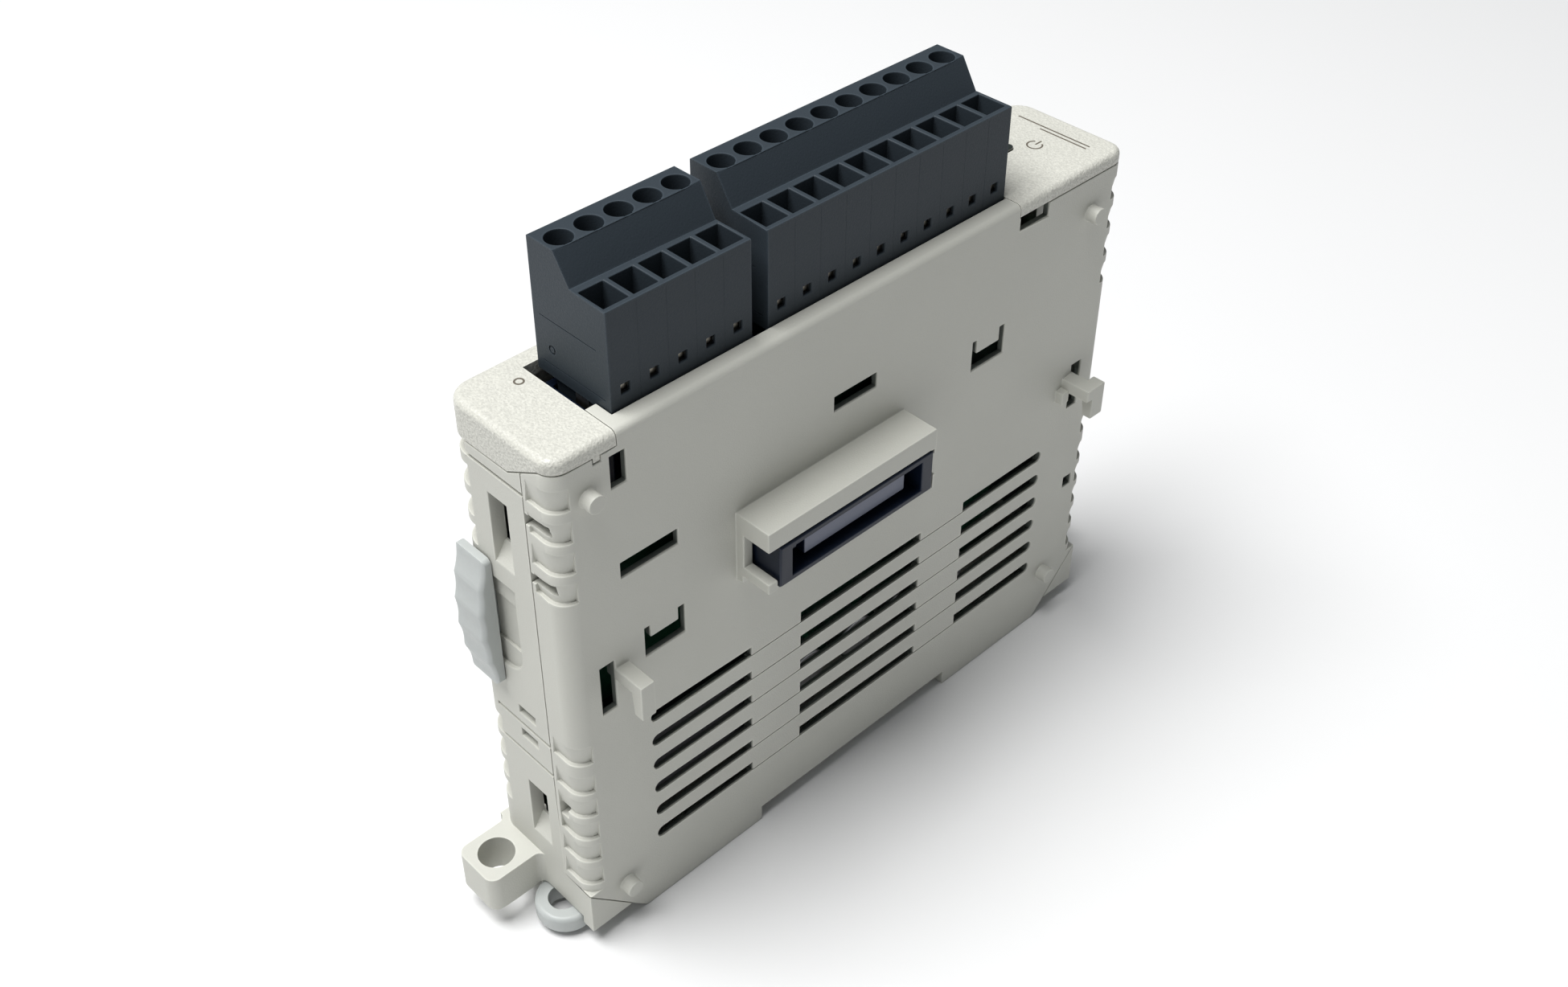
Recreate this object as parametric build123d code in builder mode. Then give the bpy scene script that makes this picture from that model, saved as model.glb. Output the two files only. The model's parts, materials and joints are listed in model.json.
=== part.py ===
"""Slim DIN-rail analogue output adapter module with two pluggable terminal blocks.

Frame: X runs along the mounting panel (the top end of the mounted module is +X), Y across the width
(the side that plugs into the next module is -Y), Z from the rear to the front.  The origin is the
centre of the DIN-rail slot, in the plane of the rear lips.  All sizes are in millimetres.
"""
from build123d import *
import os
from math import atan2, degrees

os.makedirs("parts", exist_ok=True)

# ---------------------------------------------------------------- housing
half_length = 45.0
half_width = 8.8
case_depth = 74.0
side_wall = 1.6
right_wall = 1.0             # the side that faces the next module
end_wall = 1.8
rear_wall = 4.4
front_plate = 1.6
seam = 0.12                  # gap between neighbouring mouldings
parting_y = -3.8             # plane between the left and the right case
near_radius, far_radius = 2.2, 3.0
front_edge_radius = 0.8
cavity_x = half_length - end_wall
cavity_y = half_width - side_wall
plate_z = case_depth - front_plate

# ---------------------------------------------------------------- rear: DIN slot, base, mounting ears
rail_half = 17.2
rail_depth = 2.3
lip_inner, lip_outer = 36.6, 38.9
base_height = 8.8
ear_x, ear_y = 49.0, 4.25
ear_hole_radius = 2.25
ear_tip, ear_half_width, ear_bottom = 52.4, 3.5, 3.3
ear_root = 1.0               # concave radius where an ear meets the body

# ---------------------------------------------------------------- front opening and cover
opening_x = (-36.65, 25.0)
opening_y = (-6.35, 5.95)
ledge_x, ledge_y = -35.05, -3.8     # corner ledge of the right case inside the opening
skirt_z = 72.3                       # lower edge of the cover along the sides
end_skirt_z = 69.2                   # lower edge of the cover on the end faces

# ---------------------------------------------------------------- side openings
vent_rows, vent_pitch, vent_height, vent_top = 6, 4.0, 1.62, 32.17
vent_spans = ((-34.3, -18.75), (-10.65, 10.65), (18.65, 34.4))
peg_places = ((-40.6, 67.8), (38.9, 67.2), (-39.4, 6.9), (37.5, 8.4))
peg_radius, peg_length = 1.1, 1.6
hook_arm_x = (-38.85, -36.9)         # fixing hook at the lower end, beside its window

# ---------------------------------------------------------------- corner finger notches
notch_height = 2.9
upper_ledges = (67.4, 63.2, 59.1, 55.0)
lower_ledges = (30.6, 25.8, 21.9, 18.0, 14.1, 10.0)

# ---------------------------------------------------------------- expansion connectors
shroud_x, shroud_z = (-20.9, 6.15), (45.3, 54.1)
shroud_reach = 5.25
shell_x, shell_z = (-19.2, 5.7), (45.35, 51.2)
mouth_x, mouth_z = (-17.3, 3.8), (46.2, 50.35)
tongue_x, tongue_z = (-14.5, 1.9), (46.95, 49.45)
bay_x, bay_z = (-21.5, 6.8), (44.8, 54.6)
bay_floor = 3.3
contact_pitch, contact_rows = 0.8, 20

# ---------------------------------------------------------------- terminal blocks
pitch = 3.81
block_poles = {"5": 5, "10": 10}
first_pole_x = {"5": -32.97, "10": -11.45}
plug_y = (-6.2, 5.6)
step_y, slope_foot_y = 1.45, -0.9    # front edge of the high step, foot of its slope
plug_top, step_top, plug_bottom = 89.6, 86.0, 73.4
end_cheek = 0.1                      # plastic beyond the outer half pitch
tenon_y, tenon_bottom, tenon_inset = (-4.6, 4.0), 64.5, 0.95
screw_y, screw_bore, screw_seat = 2.95, 1.5, 79.6
cell_y, cell_half, cell_floor = (-5.55, -1.6), 1.6, 74.4
header_z = (61.2, 64.2)
header_wall_top = 71.4
pin_y, pin_side = -0.3, 1.0

# ---------------------------------------------------------------- circuit boards
board_thickness = 1.6
main_board_y = 1.4
connector_board_y = -5.6
terminal_board_z = 59.6

# ---------------------------------------------------------------- sliding latches
lock_y, lock_z = (3.3, 8.6), (36.0, 54.5)
lock_bulge = 2.3
lock_travel = 3.0
hook_y, hook_z = (-6.7, 0.9), (0.8, 3.4)
hook_tip = -48.3


def block(x, y, z, mode=Mode.ADD):
    """A box between two limits along each axis."""
    (x0, x1), (y0, y1), (z0, z1) = sorted(x), sorted(y), sorted(z)
    with Locations(((x0 + x1) / 2, (y0 + y1) / 2, (z0 + z1) / 2)):
        Box(x1 - x0, y1 - y0, z1 - z0, mode=mode)


def blocks_at(places, half, y, z, mode=Mode.ADD):
    """The same box at every x in places, half a width to each side."""
    with Locations(*[(x, (y[0] + y[1]) / 2, (z[0] + z[1]) / 2) for x in places]):
        Box(2 * half, y[1] - y[0], z[1] - z[0], mode=mode)


def prism(plane, points, length, mode=Mode.ADD):
    """A straight prism on a polygon, standing on a plane."""
    with BuildSketch(plane) as base:
        with BuildLine():
            Polyline(*points, close=True)
        make_face()
    extrude(base.sketch, amount=length, mode=mode)


def facing_right(y):
    """The plane that faces -Y at the given y, with X to the right and Z up."""
    return Plane.XZ.offset(-y)


def save(builder, name):
    """Label a finished piece and write its STEP file."""
    builder.part.label = name
    export_step(builder.part, f"parts/{name}.step")


def pole_places(name):
    """The x of each pole of a terminal block."""
    return [first_pole_x[name] + pitch * i for i in range(block_poles[name])]


def block_span(name, inset=0.0):
    """The x limits of a terminal block, moved in at each end by inset."""
    poles = pole_places(name)
    reach = pitch / 2 + end_cheek - inset
    return poles[0] - reach, poles[-1] + reach


# ================================================================ regions shared by the housing parts
with BuildPart() as envelope:
    side_outline = [
        (-half_length, rail_depth), (-lip_outer, rail_depth), (-lip_inner, 0), (-rail_half, 0),
        (-rail_half, rail_depth), (rail_half, rail_depth), (rail_half, 0), (lip_inner, 0),
        (lip_outer, rail_depth), (half_length, rail_depth), (half_length, case_depth),
        (-half_length, case_depth),
    ]
    prism(facing_right(half_width), side_outline, 2 * half_width)
    corners = envelope.edges().filter_by(Axis.Z).filter_by(lambda e: abs(e.center().X) > half_length - 1)
    fillet(corners.filter_by(lambda e: e.center().Y < 0), near_radius)
    corners = envelope.edges().filter_by(Axis.Z).filter_by(lambda e: abs(e.center().X) > half_length - 1)
    fillet(corners.filter_by(lambda e: e.center().Y > half_width - 0.1), far_radius)
    fillet(envelope.faces().sort_by(Axis.Z)[-1].edges(), front_edge_radius)
    block((-half_length, half_length), (-half_width, half_width), (rail_depth, base_height))


def cover_region(grow):
    """The space of the front cover, grown by a gap all round."""
    skirt = [
        (half_width + 1, end_skirt_z - grow), (-1.6, end_skirt_z + 0.2 - grow), (-6.8, skirt_z - grow),
        (-half_width - 1, skirt_z - grow), (-half_width - 1, case_depth + 1),
        (half_width + 1, case_depth + 1),
    ]
    with BuildPart() as region:
        prism(Plane.YZ.offset(-half_length - 1), skirt, opening_x[0] + grow + half_length + 1)
        prism(Plane.YZ.offset(opening_x[1] - grow), skirt, half_length + 1 - opening_x[1] + grow)
        block((-half_length, half_length), (opening_y[1] - grow, half_width + 1),
              (skirt_z - grow, case_depth + 1))
    return region.part


def right_region(grow):
    """The space of the right case: everything beyond the parting plane but the base corners."""
    outline = [
        (-half_length - 1, base_height + 1 + grow), (-lip_outer, rail_depth + grow), (-lip_inner, -1),
        (lip_inner, -1), (lip_outer, rail_depth + grow), (half_length + 1, base_height + 1 + grow),
        (half_length + 1, case_depth + 1), (-half_length - 1, case_depth + 1),
    ]
    with BuildPart() as region:
        prism(facing_right(parting_y - grow / 2), outline, half_width + 2)
    return region.part


def hollow_out():
    """Cut the inside of the housing and the front opening."""
    block((-cavity_x, cavity_x), (right_wall - half_width, cavity_y), (rear_wall, plate_z), Mode.SUBTRACT)
    block((ledge_x, opening_x[1]), opening_y, (plate_z - 1, case_depth + 1), Mode.SUBTRACT)
    block((opening_x[0], ledge_x), (ledge_y, opening_y[1]), (plate_z - 1, case_depth + 1), Mode.SUBTRACT)


def corner_notch(side, radius, depth, panel_reach, end_reach):
    """Cutter for a finger notch at the -X corner: a ramp that runs in towards a ledge at z = 0."""
    with BuildPart() as cutter:
        block((-half_length - 1, -half_length + panel_reach),
              (side * (half_width - end_reach), side * (half_width + 1)), (0, notch_height))
        with BuildSketch():
            RectangleRounded(2 * (half_length - depth), 2 * (half_width - depth), radius - depth * 0.6)
        extrude(amount=notch_height, taper=-degrees(atan2(depth, notch_height)), mode=Mode.SUBTRACT)
    return cutter.part


def notch_both_ends(cutter, ledges):
    """Cut a notch at each ledge height, at both ends of the housing."""
    mirrored = cutter.mirror(Plane.YZ)
    for ledge in ledges:
        with Locations((0, 0, ledge)):
            add(cutter, mode=Mode.SUBTRACT)
            add(mirrored, mode=Mode.SUBTRACT)


def vents(y_outer, y_inner):
    """Cut the three groups of ventilation slots through one side wall: each sill falls away inwards."""
    side = 1 if y_outer > 0 else -1
    sill_start, sill_fall = side * (half_width - 0.25), 1.0
    for row in range(vent_rows):
        top = vent_top - row * vent_pitch
        middle = top - vent_height / 2
        for low, high in vent_spans:
            rounded = [end for end in (low, high) if abs(end) > 30]
            shift = [vent_height / 2 if end in rounded else 0 for end in (low, high)]
            foot = top - vent_height
            block((low + shift[0], high - shift[1]), (y_outer, y_inner), (foot, top), Mode.SUBTRACT)
            sill = [(sill_start, foot + 0.1), (sill_start, foot), (y_inner, foot - sill_fall),
                    (y_inner, foot + 0.1)]
            prism(Plane.YZ.offset(low + 0.5), sill, high - low - 1.0, Mode.SUBTRACT)
            for end in rounded:
                with BuildSketch(facing_right(max(y_outer, y_inner))) as tip:
                    with Locations((end - vent_height / 2 * (1 if end > 0 else -1), middle)):
                        Circle(vent_height / 2)
                extrude(tip.sketch, amount=abs(y_outer - y_inner), mode=Mode.SUBTRACT)


def hook_guide():
    """Cut the guide of the rail hook: wide inside, open towards the rear in the middle."""
    run = (-half_length - 1, -rail_half + 1)
    block(run, (hook_y[0] - 0.15, hook_y[1] + 0.15), (hook_z[0] - 0.15, hook_z[1] + 0.15), Mode.SUBTRACT)
    block(run, (hook_y[0] + 1.6, hook_y[1] - 1.6), (-1, hook_z[0]), Mode.SUBTRACT)


near_notch = corner_notch(-1, near_radius, 0.5, 2.2, 4.3)
far_notch = corner_notch(1, far_radius, 1.3, 3.2, 3.2)
end_face_step = 0.3

# ================================================================ left case: tray, base, ears, sockets
with BuildPart() as left_case:
    add(envelope.part)
    add(right_region(0), mode=Mode.SUBTRACT)
    add(cover_region(seam), mode=Mode.SUBTRACT)
    hollow_out()
    notch_both_ends(far_notch, upper_ledges + lower_ledges[1:5])
    for end in (-1, 1):
        # ears, with the hole for an M4 screw
        with BuildSketch(Plane.XY.offset(ear_bottom)):
            with Locations((end * (ear_tip + half_length - 1) / 2, ear_y)):
                RectangleRounded(ear_tip - half_length + 1, 2 * ear_half_width, 1.4)
            with Locations((end * (half_length + ear_root / 2 - 0.5), ear_y)):
                Rectangle(ear_root + 1, 2 * (ear_half_width + ear_root))
            with Locations(*[(end * (half_length + ear_root), ear_y + side * (ear_half_width + ear_root))
                             for side in (-1, 1)]):
                Circle(ear_root, mode=Mode.SUBTRACT)
        extrude(amount=base_height - ear_bottom)
        with BuildSketch(Plane.XY.offset(ear_bottom)):
            with Locations((end * ear_x, ear_y)):
                Circle(ear_hole_radius)
        extrude(amount=base_height - ear_bottom, mode=Mode.SUBTRACT)
        # tall latch windows with a sloped sill
        for y_low, y_high, z_low, z_high in ((-0.7, 2.5, 57.0, 64.3), (-1.9, 1.5, 14.4, 21.0)):
            block((end * (half_length - end_wall - 0.5), end * (half_length + 1)), (y_low, y_high),
                  (z_low, z_high), Mode.SUBTRACT)
            sill = [(end * (half_length + 0.1), z_low - 2.4), (end * (half_length + 0.1), z_low + 0.1),
                    (end * (half_length - end_wall + 0.2), z_low + 0.1)]
            prism(facing_right(y_high), sill, y_high - y_low, Mode.SUBTRACT)
        # low slots below the slide lock
        for z_low in (32.3, 28.5):
            block((end * cavity_x * 0.98, end * (half_length + 1)), (-1.4, 1.6), (z_low, z_low + 1.3),
                  Mode.SUBTRACT)
        # slot in which the slide lock runs, and the finger recess beside it
        block((end * cavity_x * 0.98, end * (half_length + 1)), (4.5, 6.3),
              (39.9, 50.3 + lock_travel), Mode.SUBTRACT)
        recess = (end * (half_length - 0.5), end * (half_length + 1))
        block(recess, (-0.3, half_width + 1), (42.3, 52.0), Mode.SUBTRACT)
        block(recess, (3.0, half_width + 1), (39.0, 42.4), Mode.SUBTRACT)
        with BuildSketch(Plane.YZ.offset(end * (half_length - 0.5))):
            with Locations((3.0, 42.3)):
                Circle(3.3)
        extrude(amount=end, mode=Mode.SUBTRACT)
        block((end * (half_length - 0.8), end * half_length), (0.5, half_width), (42.3, 49.2), Mode.SUBTRACT)
        # shallow steps right across the end face
        for ledge in (upper_ledges[0], lower_ledges[0], lower_ledges[1]):
            block((end * (half_length - end_face_step), end * (half_length + 1)),
                  (parting_y, half_width - far_radius), (ledge, ledge + 0.5), Mode.SUBTRACT)
    vents(half_width + 1, cavity_y - 0.5)
    # holes that take the neighbour's pegs and hooks
    with BuildSketch(facing_right(half_width)):
        with Locations(*peg_places):
            Circle(peg_radius + 0.25)
    extrude(amount=side_wall + 0.5, mode=Mode.SUBTRACT)
    for end in (-1, 1):
        block((end * 36.4, end * 41.2), (cavity_y - 0.1, half_width + 1), (36.6, 44.4), Mode.SUBTRACT)
    # connector bay: a well that is open to the left and ends at the main board
    block((bay_x[0] - 1.2, bay_x[1] + 1.2), (bay_floor, half_width - 0.1),
          (bay_z[0] - 1.2, bay_z[1] + 1.2))
    block(bay_x, (bay_floor - 1, half_width + 1), bay_z, Mode.SUBTRACT)
    # posts for the main board, shelves for the terminal board
    with BuildSketch(facing_right(cavity_y + 0.1)):
        with Locations((-39.0, 12.0), (39.0, 12.0), (-39.0, 49.0), (39.0, 49.0)):
            Circle(2.4)
            Circle(1.05, mode=Mode.SUBTRACT)
    extrude(amount=cavity_y + 0.1 - main_board_y - board_thickness)
    for x_low in (-41.0, 33.0):
        block((x_low, x_low + 6), (5.2, cavity_y + 0.1), (terminal_board_z - 1.6, terminal_board_z))
    hook_guide()
save(left_case, "left_case")

# ================================================================ right case: panel, shroud, pegs, hooks
with BuildPart() as right_case:
    add(envelope.part)
    add(right_region(seam), mode=Mode.INTERSECT)
    add(cover_region(seam), mode=Mode.SUBTRACT)
    hollow_out()
    notch_both_ends(near_notch, upper_ledges + lower_ledges)
    panel = (-half_width - 1, -cavity_y + 0.1)
    for x, z in (
        ((-37.6, -35.55), (67.1, 71.3)), ((-37.15, -29.2), (54.75, 56.9)), ((-5.7, 1.2), (59.9, 62.0)),
        ((25.0, 30.4), (70.3, skirt_z)), ((-40.9, hook_arm_x[0]), (36.8, 43.9)),
        ((38.95, 40.9), (36.8, 43.9)), ((40.3, 42.0), (22.2, 23.95)), ((-39.65, -38.6), (71.35, skirt_z)),
    ):
        block(x, panel, z, Mode.SUBTRACT)
    # U-shaped slots that free a small latch tongue
    for left, right, low, high, arm_left, arm_right, tongue in (
        (-34.5, -28.7, 41.4, 45.65, 0.8, 0.95, 43.9), (18.05, 23.95, 53.45, 57.75, 0.75, 1.0, 55.8),
    ):
        block((left, right), panel, (low, tongue), Mode.SUBTRACT)
        block((left, left + arm_left), panel, (low, high), Mode.SUBTRACT)
        block((right - arm_right, right), panel, (low, high), Mode.SUBTRACT)
    vents(-half_width - 1, -cavity_y + 0.5)
    hook_guide()
    # fine witness lines that join the vent groups
    for row in range(vent_rows):
        foot = vent_top - row * vent_pitch - vent_height
        for low, high in ((vent_spans[0][1], vent_spans[1][0]), (vent_spans[1][1], vent_spans[2][0])):
            block((low, high), (-half_width - 1, -half_width + 0.25), (foot, foot + 0.15), Mode.SUBTRACT)
    for end in (-1, 1):
        for y_low, y_high, z_low, z_high in (
            (-7.4, parting_y, 64.0, 65.5), (-7.5, parting_y, 56.1, 57.5), (-6.0, -4.5, 20.4, 22.2),
        ):
            block((end * cavity_x * 0.98, end * (half_length + 1)), (y_low, y_high), (z_low, z_high),
                  Mode.SUBTRACT)
    with BuildSketch(facing_right(-half_width + 0.3)):
        with Locations(*peg_places):
            Circle(peg_radius)
    extrude(amount=peg_length + 0.3)
    # fixing hooks: an arm straight out, then a claw towards the rear
    block(hook_arm_x, (-13.1, -cavity_y), (40.9, 42.6))
    claw = [(-13.1, 42.6), (-11.2, 42.6), (-11.7, 37.7), (-13.1, 37.7)]
    prism(Plane.YZ.offset(hook_arm_x[0]), claw, hook_arm_x[1] - hook_arm_x[0])
    block((37.2, 39.4), (-13.1, -cavity_y), (40.9, 42.6))
    prism(Plane.YZ.offset(38.3), claw, 2.4)
    block((36.0, 37.3), (-half_width - 1.2, -cavity_y), (39.4, 41.2))
    # C-shaped shroud round the connector
    reach = (-half_width - shroud_reach, -cavity_y)
    block(shroud_x, reach, (51.4, shroud_z[1]))
    for x, end_foot in (((shroud_x[0], shroud_x[0] + 1.4), 46.7), ((4.9, shroud_x[1]), 47.4)):
        block(x, (-half_width - 1.2, -cavity_y), (shroud_z[0], 52.0))
        block(x, reach, (shroud_z[0], end_foot))
    block(shroud_x, (-half_width - 1.0, -cavity_y), (44.3, shroud_z[0]))
    block((5.3, shroud_x[1]), reach, (50.6, 52.0))
    block((shell_x[0] - 0.15, shell_x[1] + 0.15), (-cavity_y + 0.1, -half_width - shroud_reach - 1),
          (shell_z[0] - 0.15, shell_z[1] + 0.1), Mode.SUBTRACT)
save(right_case, "right_case")

# ================================================================ front cover
with BuildPart() as front_cover:
    add(envelope.part)
    add(cover_region(0), mode=Mode.INTERSECT)
    hollow_out()
    # the recess for the corner ledge of the right case, and the slot for the status light
    block((opening_x[0], ledge_x + 2), (-half_width - 1, opening_y[0] + 3), (plate_z - 1, case_depth + 1),
          Mode.SUBTRACT)
    with BuildSketch(Plane.XY.offset(plate_z - 0.5)):
        with Locations((33.6, 1.2)):
            SlotOverall(2.6, 1.4)
    extrude(amount=front_plate + 1, mode=Mode.SUBTRACT)
    # snap legs that reach down inside the case
    for x in ((-42.4, -39.2), (39.2, 42.4)):
        for y in ((-cavity_y + 0.15, -cavity_y + 1.25), (cavity_y - 1.25, cavity_y - 0.15)):
            block(x, y, (66.5, plate_z + 0.1))
    block((-39.55, -38.7), (-half_width + 0.1, -cavity_y + 0.2), (71.45, skirt_z + 0.2))
save(front_cover, "front_cover")

with BuildPart() as status_lens:
    with BuildSketch(Plane.XY.offset(62.6)):
        with Locations((33.6, 1.2)):
            SlotOverall(2.5, 1.3)
    extrude(amount=case_depth + 0.25 - 62.6)
save(status_lens, "status_lens")

# ================================================================ sliding pieces of the housing
for end, name in ((-1, "slide_lock_lower"), (1, "slide_lock_upper")):
    with BuildPart() as slide_lock:
        face = end * (half_length + 0.15)
        crown = end * (half_length + lock_bulge)
        with BuildSketch(facing_right(lock_y[1])):
            with BuildLine():
                ThreePointArc((face + end * 0.5, lock_z[1]), (crown, 47.5), (face + end * 0.3, lock_z[0]))
                Polyline((face + end * 0.3, lock_z[0]), (face, lock_z[0]), (face, lock_z[1]),
                         (face + end * 0.5, lock_z[1]))
            make_face()
        extrude(amount=lock_y[1] - lock_y[0])
        rims = slide_lock.edges().group_by(Axis.Y)[0] + slide_lock.edges().group_by(Axis.Y)[-1]
        fillet(rims.filter_by(GeomType.CIRCLE), 0.45)
        block((face, end * (cavity_x - 0.3)), (4.65, 6.15), (40.1, 50.1))
        block((end * (cavity_x - 0.3), end * (cavity_x - 1.3)), (3.2, 7.0), (40.1, 50.1))
    save(slide_lock, name)

with BuildPart() as din_hook:
    ring_radius = (hook_y[1] - hook_y[0]) / 2
    ring_y = (hook_y[1] + hook_y[0]) / 2
    with BuildSketch(Plane.XY.offset(hook_z[0])):
        with Locations((hook_tip + ring_radius, ring_y)):
            Circle(ring_radius)
        with Locations(((hook_tip + ring_radius - rail_half - 0.6) / 2, ring_y)):
            Rectangle(-rail_half - 0.6 - hook_tip - ring_radius, 2 * ring_radius)
        with Locations((-45.0, ring_y)):
            SlotOverall(3.6, 3.4, rotation=90, mode=Mode.SUBTRACT)
    extrude(amount=hook_z[1] - hook_z[0])
    fillet(din_hook.edges().filter_by(GeomType.CIRCLE).sort_by(Axis.X)[0:2], 0.6)
    block((-rail_half - 0.7, -rail_half + 1.0), hook_y, (hook_z[0], hook_z[0] + 0.7))
save(din_hook, "din_hook")

with BuildPart() as socket_cover:
    block((bay_x[0] + 0.15, bay_x[1] - 0.15), (7.6, half_width), (bay_z[0] + 0.15, bay_z[1] - 0.15))
    block((-9.4, -5.3), (half_width - 0.5, half_width + 0.2), (bay_z[0] + 0.15, bay_z[0] + 1.4),
          Mode.SUBTRACT)
    for x in ((bay_x[0] + 0.4, bay_x[0] + 1.6), (bay_x[1] - 1.6, bay_x[1] - 0.4)):
        block(x, (4.4, 7.7), (47.6, 51.8))
save(socket_cover, "socket_cover")

# ================================================================ circuit boards
board_post_places = ((-39.0, 12.0), (39.0, 12.0), (-39.0, 49.0), (39.0, 49.0))
with BuildPart() as main_board:
    with BuildSketch(facing_right(main_board_y + board_thickness)):
        with Locations((0, 32.6)):
            RectangleRounded(84.0, 51.2, 1.0)
        with Locations(*board_post_places):
            Circle(1.35, mode=Mode.SUBTRACT)
    extrude(amount=board_thickness)
save(main_board, "main_board")

with BuildPart() as connector_board:
    block((-23.0, 9.0), (connector_board_y, connector_board_y + board_thickness), (40.5, 58.2))
save(connector_board, "connector_board")

all_poles = pole_places("5") + pole_places("10")
with BuildPart() as terminal_board:
    block((-39.5, 37.0), (-6.4, 6.6), (terminal_board_z, terminal_board_z + board_thickness))
    blocks_at(all_poles, pin_side / 2, (pin_y - pin_side / 2, pin_y + pin_side / 2),
              (terminal_board_z, terminal_board_z + board_thickness), Mode.SUBTRACT)
save(terminal_board, "terminal_board")

with BuildPart() as board_screws:
    with BuildSketch(facing_right(main_board_y)):
        with Locations(*board_post_places):
            Circle(2.2)
    extrude(amount=1.5)
    with BuildSketch(facing_right(main_board_y)):
        with Locations(*board_post_places):
            Circle(1.05)
    extrude(amount=-5.0)
    for x, z in board_post_places:
        block((x - 1.6, x + 1.6), (main_board_y - 1.6, main_board_y - 0.9), (z - 0.25, z + 0.25),
              Mode.SUBTRACT)
save(board_screws, "board_screws")

with BuildPart() as board_link:
    block((-15.0, 3.0), (connector_board_y + board_thickness, main_board_y), (53.0, 56.6))
save(board_link, "board_link")

with BuildPart() as terminal_link:
    block((-41.0, -16.0), (-1.2, main_board_y), (54.4, 57.4))
    for i in range(9):
        x = -38.66 + 2.54 * i
        block((x - 0.3, x + 0.3), (0.5, 1.1), (57.4, terminal_board_z))
save(terminal_link, "terminal_link")

with BuildPart() as processor_chip:
    block((14.0, 26.0), (0.1, main_board_y), (34.0, 46.0))
    chamfer(processor_chip.faces().sort_by(Axis.Y)[0].edges(), 0.3)
save(processor_chip, "processor_chip")

with BuildPart() as dc_converter:
    block((-34.0, -14.0), (-6.2, main_board_y), (12.0, 26.0))
    fillet(dc_converter.faces().sort_by(Axis.Y)[0].edges(), 0.8)
save(dc_converter, "dc_converter")

with BuildPart() as optocouplers:
    for i in range(5):
        x = 9.6 + 5.6 * i
        block((x, x + 4.4), (-0.8, main_board_y), (50.2, 56.8))
save(optocouplers, "optocouplers")

with BuildPart() as capacitors:
    with BuildSketch(facing_right(main_board_y)):
        with Locations(*[(-6.0 + 9.0 * i, 16.5) for i in range(4)]):
            Circle(3.15)
    extrude(amount=7.0)
    fillet(capacitors.faces().filter_by(Axis.Y).group_by(Axis.Y)[0].edges(), 0.5)
save(capacitors, "capacitors")

with BuildPart() as power_led:
    block((32.8, 34.4), (0.6, 1.8), (terminal_board_z + board_thickness, 62.4))
save(power_led, "power_led")

# ================================================================ expansion connectors
contact_places = [tongue_x[0] + 0.6 + contact_pitch * i for i in range(contact_rows)]
with BuildPart() as expansion_plug:
    block(shell_x, (-half_width - shroud_reach - 0.1, connector_board_y), shell_z)
    fillet(expansion_plug.faces().sort_by(Axis.Y)[0].edges().filter_by(Axis.Y, reverse=True), 0.3)
    block(mouth_x, (-15.0, -8.6), mouth_z, Mode.SUBTRACT)
    block(tongue_x, (-13.1, -8.5), tongue_z)
    block((mouth_x[0] + 0.9, mouth_x[0] + 1.8), (-12.9, -8.5), (48.5, mouth_z[1]))
save(expansion_plug, "expansion_plug")

with BuildPart() as expansion_plug_contacts:
    for z in ((tongue_z[0] - 0.15, tongue_z[0]), (tongue_z[1], tongue_z[1] + 0.15)):
        blocks_at(contact_places, 0.2, (-12.6, -8.6), z)
save(expansion_plug_contacts, "expansion_plug_contacts")

with BuildPart() as expansion_socket:
    block((-17.0, 3.5), (main_board_y + board_thickness, 7.0), (46.45, 50.1))
    block((tongue_x[0] - 0.3, tongue_x[1] + 0.3), (3.7, 7.5), (tongue_z[0] - 0.2, tongue_z[1] + 0.2),
          Mode.SUBTRACT)
save(expansion_socket, "expansion_socket")

with BuildPart() as expansion_socket_contacts:
    for z in ((tongue_z[0] - 0.2, tongue_z[0] - 0.08), (tongue_z[1] + 0.08, tongue_z[1] + 0.2)):
        blocks_at(contact_places, 0.2, (3.7, 6.6), z)
save(expansion_socket_contacts, "expansion_socket_contacts")

# ================================================================ terminal headers and their pins
for name in block_poles:
    with BuildPart() as header:
        outer, inner = block_span(name), block_span(name, tenon_inset - 0.3)
        block(outer, (-6.0, 5.4), (header_z[0], header_wall_top))
        block(inner, (tenon_y[0] - 0.3, tenon_y[1] + 0.3), (header_z[1], header_wall_top + 1), Mode.SUBTRACT)
        blocks_at(pole_places(name), pin_side / 2, (pin_y - pin_side / 2, pin_y + pin_side / 2), header_z,
                  Mode.SUBTRACT)
        if name == "5":
            # flange that closes the end of the front opening
            block((opening_x[0] + 0.3, outer[0] + 0.1), (-3.4, 5.4), (68.6, 70.4))
    save(header, f"header_{name}")

with BuildPart() as header_pins:
    blocks_at(all_poles, pin_side / 2, (pin_y - pin_side / 2, pin_y + pin_side / 2),
              (terminal_board_z - 1.2, 71.5))
    chamfer(header_pins.faces().filter_by(Axis.Z).group_by(Axis.Z)[-1].edges(), 0.25)
save(header_pins, "header_pins")

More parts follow.
